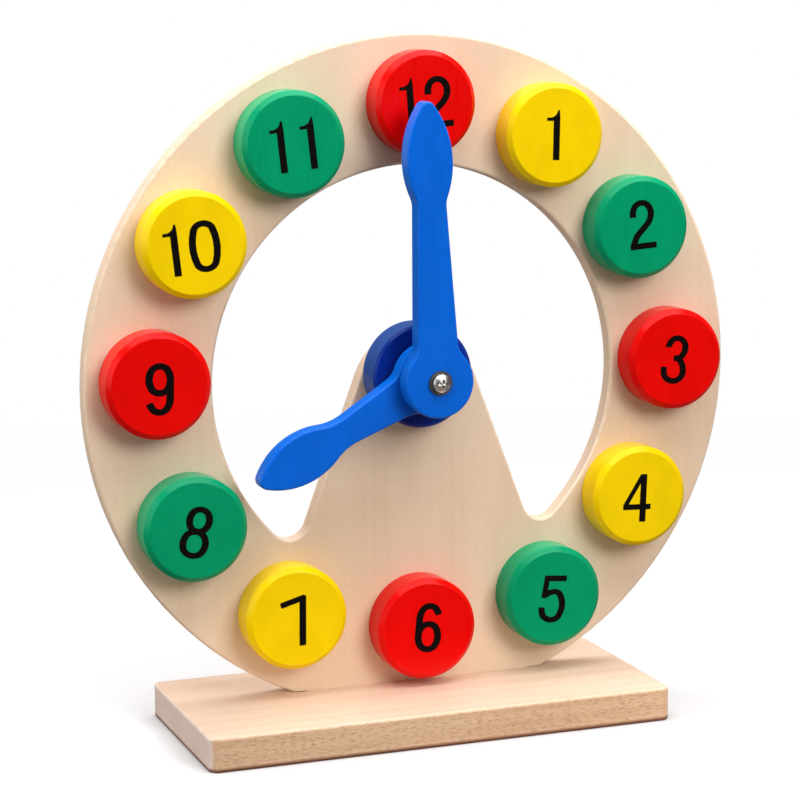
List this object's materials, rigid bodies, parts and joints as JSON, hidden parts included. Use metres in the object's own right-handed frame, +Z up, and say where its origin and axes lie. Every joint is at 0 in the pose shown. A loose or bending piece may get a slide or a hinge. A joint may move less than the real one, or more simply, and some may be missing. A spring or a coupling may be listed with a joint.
{
  "type": "teaching clock",
  "caption": "Wooden teaching clock: a ring dial with coloured number discs on a base board, and two hands that are pushed round one pivot screw by hand.",
  "frame": {"origin": "middle of the underside, straight below the centre of the dial; the base board reaches further to the left of it than to the right", "axes": "+X to the right as the dial is read, +Y from the numbers to the back, +Z up"},
  "size_m": [0.21, 0.066, 0.212],
  "materials": {
    "beech": "satin varnish",
    "birch_plywood": "satin varnish",
    "dowel_wood": "bare",
    "red_paint": "gloss paint on wood",
    "yellow_paint": "gloss paint on wood",
    "green_paint": "gloss paint on wood",
    "blue_paint": "gloss paint on wood",
    "navy_paint": "gloss paint on wood",
    "nylon": "natural nylon",
    "zinc_plated_steel": "bright zinc plate"
  },
  "bodies": {
    "clock_frame": {"base_board": "beech", "dial_plate": "birch_plywood", "number_disc_01": "yellow_paint", "number_disc_02": "green_paint", "number_disc_03": "red_paint", "number_disc_04": "yellow_paint", "number_disc_05": "green_paint", "number_disc_06": "red_paint", "number_disc_07": "yellow_paint", "number_disc_08": "green_paint", "number_disc_09": "red_paint", "number_disc_10": "yellow_paint", "number_disc_11": "green_paint", "number_disc_12": "red_paint", "disc_dowels": "dowel_wood", "hub_disc": "navy_paint", "hub_washer": "nylon", "hand_washer": "nylon", "front_washer": "zinc_plated_steel", "pivot_screw": "zinc_plated_steel", "back_washer": "zinc_plated_steel", "lock_nut": "zinc_plated_steel", "lock_nut_ring": "nylon"},
    "hour_hand": {"hour_hand": "blue_paint"},
    "minute_hand": {"minute_hand": "blue_paint"}
  },
  "joints": [
    {"name": "hour_hand_turn", "type": "hinge", "parent": "clock_frame", "child": "hour_hand", "pos_m": [-0.0017, -0.0096, 0.1085], "axis": [0, 1, 0], "continuous": true},
    {"name": "minute_hand_turn", "type": "hinge", "parent": "clock_frame", "child": "minute_hand", "pos_m": [-0.0017, -0.0163, 0.1085], "axis": [0, 1, 0], "continuous": true}
  ]
}
